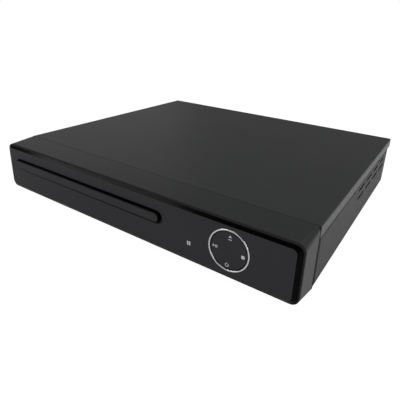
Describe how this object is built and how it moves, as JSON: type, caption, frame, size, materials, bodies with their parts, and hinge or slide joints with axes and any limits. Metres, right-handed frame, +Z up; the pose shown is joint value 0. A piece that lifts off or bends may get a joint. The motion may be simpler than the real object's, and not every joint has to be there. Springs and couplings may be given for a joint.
{
  "type": "disc player",
  "caption": "Slim disc player: folded steel case, dark moulded front, motor-driven loading tray, round four-way control, disc drive and rear jacks.",
  "frame": {"origin": "centre of the bounding box at the underside of the feet", "axes": "+X to the right seen from the front, +Y from the front to the back, +Z up"},
  "size_m": [0.225, 0.2118, 0.04],
  "materials": {
    "cover_paint": "fine textured satin",
    "zinc_steel": "galvanised sheet",
    "bezel_plastic": "satin",
    "fascia_plastic": "satin face, gloss edge",
    "tray_plastic": "fine matte",
    "ring_chrome": "bright",
    "rubber": "matte",
    "screw_steel": "black zinc",
    "white_acetal": "matte",
    "loader_plastic": "matte",
    "steel_part": "satin",
    "circuit_board": "lacquered",
    "black_component": "matte",
    "lens_glass": "clear",
    "aluminium_fin": "satin",
    "brass_contact": "bright",
    "yellow_tape": "tape",
    "ferrite": "matte",
    "ribbon_white": "smooth"
  },
  "bodies": {
    "case": {"capacitors": "black_component", "case_screws": "screw_steel", "chassis_tray": "zinc_steel", "chips": "black_component", "clamp_bridge": "steel_part", "control_ring": "ring_chrome", "drive_belt": "rubber", "fascia_panel": "fascia_plastic", "front_bezel": "bezel_plastic", "front_board": "circuit_board", "fuse": "lens_glass", "heat_sink": "aluminium_fin", "inlet_pins": "brass_contact", "inner_screws": "screw_steel", "jack_barrels": "steel_part", "jack_block": "black_component", "jack_inserts": "white_acetal", "loader_frame": "loader_plastic", "loading_motor": "steel_part", "main_board": "circuit_board", "mains_inlet": "black_component", "power_board": "circuit_board", "rear_panel": "zinc_steel", "remote_receiver": "black_component", "ribbon_cables": "ribbon_white", "rubber_feet": "rubber", "switch_bodies": "black_component", "top_cover": "cover_paint", "transformer_coil": "yellow_tape", "transformer_core": "ferrite", "video_socket": "steel_part"},
    "tray": {"disc_tray": "tray_plastic", "tray_front": "tray_plastic"},
    "motor_pulley": {"motor_pulley": "white_acetal"},
    "pulley_gear": {"pulley_gear": "white_acetal"},
    "tray_gear": {"tray_gear": "white_acetal"},
    "cam": {"cam_slider": "white_acetal"},
    "traverse": {"traverse_cradle": "loader_plastic", "sled_base": "steel_part", "damper_grommets": "rubber", "damper_screws": "screw_steel", "spindle_motor": "steel_part", "guide_rods": "steel_part", "sled_motor": "steel_part"},
    "spindle": {"spindle_shaft": "steel_part", "turntable": "black_component"},
    "pickup": {"pickup_body": "aluminium_fin", "pickup_rack": "white_acetal"},
    "lens": {"lens_holder": "black_component", "objective_lens": "lens_glass"},
    "sled_pinion": {"sled_pinion": "brass_contact"},
    "sled_gear": {"sled_gear": "white_acetal"},
    "clamp": {"clamp_puck": "loader_plastic", "clamp_yoke": "steel_part"},
    "gimbal": {"rocker_gimbal": "white_acetal"},
    "control_disc": {"control_disc": "fascia_plastic"},
    "plunger_up": {"switch_plunger_up": "white_acetal"},
    "plunger_down": {"switch_plunger_down": "white_acetal"},
    "plunger_left": {"switch_plunger_left": "white_acetal"},
    "plunger_right": {"switch_plunger_right": "white_acetal"}
  },
  "joints": [
    {"name": "tray_slide", "type": "slide", "parent": "case", "child": "tray", "axis": [0, -1, 0], "range_m": [0, 0.14]},
    {"name": "tray_gear_spin", "type": "hinge", "parent": "case", "child": "tray_gear", "pos_m": [0.0202, -0.0781, 0.0195], "axis": [0, 0, 1], "range_deg": [-1338.9, 2]},
    {"name": "pulley_gear_spin", "type": "hinge", "parent": "case", "child": "pulley_gear", "pos_m": [0.0066, -0.0781, 0.0195], "axis": [0, 0, 1], "range_deg": [-2, 2452.99]},
    {"name": "motor_pulley_spin", "type": "hinge", "parent": "case", "child": "motor_pulley", "pos_m": [-0.03, -0.0666, 0.0195], "axis": [0, 0, 1], "range_deg": [-2, 7004.82]},
    {"name": "traverse_tilt", "type": "hinge", "parent": "case", "child": "traverse", "pos_m": [-0.0345, 0.0624, 0.015], "axis": [1, 0, 0], "range_deg": [0, 4.29]},
    {"name": "cam_slide", "type": "slide", "parent": "case", "child": "cam", "axis": [1, 0, 0], "range_m": [-0.0001, 0.0202]},
    {"name": "spindle_spin", "type": "hinge", "parent": "traverse", "child": "spindle", "pos_m": [-0.0345, -0.0206, 0.023], "axis": [0, 0, 1], "continuous": true},
    {"name": "pickup_slide", "type": "slide", "parent": "traverse", "child": "pickup", "axis": [0, 1, 0], "range_m": [0, 0.035]},
    {"name": "sled_gear_spin", "type": "hinge", "parent": "traverse", "child": "sled_gear", "pos_m": [-0.004, 0.0144, 0.017], "axis": [0, 0, 1], "range_deg": [-559.04, 2]},
    {"name": "sled_pinion_spin", "type": "hinge", "parent": "traverse", "child": "sled_pinion", "pos_m": [-0.004, 0.006, 0.017], "axis": [0, 0, 1], "range_deg": [-2, 1004.68]},
    {"name": "lens_focus", "type": "slide", "parent": "pickup", "child": "lens", "axis": [0, 0, 1], "range_m": [-0.0005, 0.0006], "stiffness_N_per_m": 30},
    {"name": "clamp_spin", "type": "hinge", "parent": "case", "child": "clamp", "pos_m": [-0.0345, -0.0206, 0.0312], "axis": [0, 0, 1], "continuous": true},
    {"name": "control_rock_a", "type": "hinge", "parent": "case", "child": "gimbal", "pos_m": [0.0753, -0.0991, 0.0234], "axis": [0.7071, 0, 0.7071], "range_deg": [-1.4, 1.4], "stiffness_Nm_per_rad": 0.05},
    {"name": "control_rock_b", "type": "hinge", "parent": "gimbal", "child": "control_disc", "pos_m": [0.0753, -0.0991, 0.0234], "axis": [-0.7071, 0, 0.7071], "range_deg": [-1.4, 1.4], "stiffness_Nm_per_rad": 0.05},
    {"name": "switch_up_press", "type": "slide", "parent": "case", "child": "plunger_up", "axis": [0, 1, 0], "range_m": [0, 0.00025], "stiffness_N_per_m": 3000},
    {"name": "switch_down_press", "type": "slide", "parent": "case", "child": "plunger_down", "axis": [0, 1, 0], "range_m": [0, 0.00025], "stiffness_N_per_m": 3000},
    {"name": "switch_left_press", "type": "slide", "parent": "case", "child": "plunger_left", "axis": [0, 1, 0], "range_m": [0, 0.00025], "stiffness_N_per_m": 3000},
    {"name": "switch_right_press", "type": "slide", "parent": "case", "child": "plunger_right", "axis": [0, 1, 0], "range_m": [0, 0.00025], "stiffness_N_per_m": 3000}
  ],
  "couplings": [
    {"joint": "tray_gear_spin", "follows": "tray_slide", "rad_per_m": -166.67},
    {"joint": "pulley_gear_spin", "follows": "tray_slide", "rad_per_m": 305.56},
    {"joint": "motor_pulley_spin", "follows": "tray_slide", "rad_per_m": 873.02},
    {"joint": "cam_slide", "follows": "traverse_tilt", "m_per_rad": 0.26714},
    {"joint": "sled_gear_spin", "follows": "pickup_slide", "rad_per_m": -277.78},
    {"joint": "sled_pinion_spin", "follows": "pickup_slide", "rad_per_m": 500}
  ]
}
